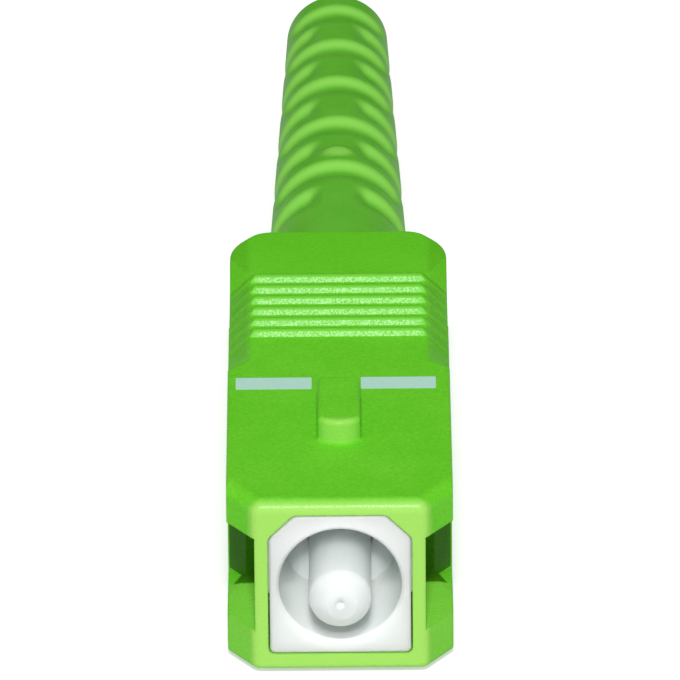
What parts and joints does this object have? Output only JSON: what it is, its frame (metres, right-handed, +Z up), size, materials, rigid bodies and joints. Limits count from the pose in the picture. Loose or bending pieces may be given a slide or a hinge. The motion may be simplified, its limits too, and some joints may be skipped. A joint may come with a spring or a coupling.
{
  "type": "fibre optic connector",
  "caption": "Push-pull square fibre plug: sliding keyed grip over an inner frame, sprung angled ferrule and ribbed strain-relief boot.",
  "frame": {"origin": "where the ferrule axis meets the front face of the plug frame", "axes": "-Y out of the plug face along the ferrule, +Y towards the cable, +Z up through the polarising key, +X to the right when seen from the front"},
  "size_m": [0.009, 0.0551, 0.0088],
  "materials": {
    "green_shell": "satin moulded, light spark texture",
    "white_frame": "smooth moulded",
    "zirconia": "ground and polished ceramic",
    "nickel_silver": "turned",
    "guide_plastic": "extruded",
    "spring_steel": "drawn wire",
    "plated_brass": "nickel plated",
    "sleeve_metal": "drawn, annealed",
    "green_elastomer": "soft moulded, satin"
  },
  "bodies": {
    "frame": {"plug_frame": "white_frame", "rear_body": "plated_brass", "crimp_sleeve": "sleeve_metal", "boot": "green_elastomer", "ferrule_spring": "spring_steel"},
    "grip": {"coupling_grip": "green_shell"},
    "ferrule_group": {"ferrule": "zirconia", "ferrule_flange": "nickel_silver", "guide_tube": "guide_plastic"}
  },
  "joints": [
    {"name": "grip_slide", "type": "slide", "parent": "frame", "child": "grip", "axis": [0, 1, 0], "range_m": [0, 0.0012]},
    {"name": "ferrule_slide", "type": "slide", "parent": "frame", "child": "ferrule_group", "axis": [0, 1, 0], "range_m": [0, 0.002], "stiffness_N_per_m": 1000, "deforming": ["ferrule_spring"]}
  ]
}
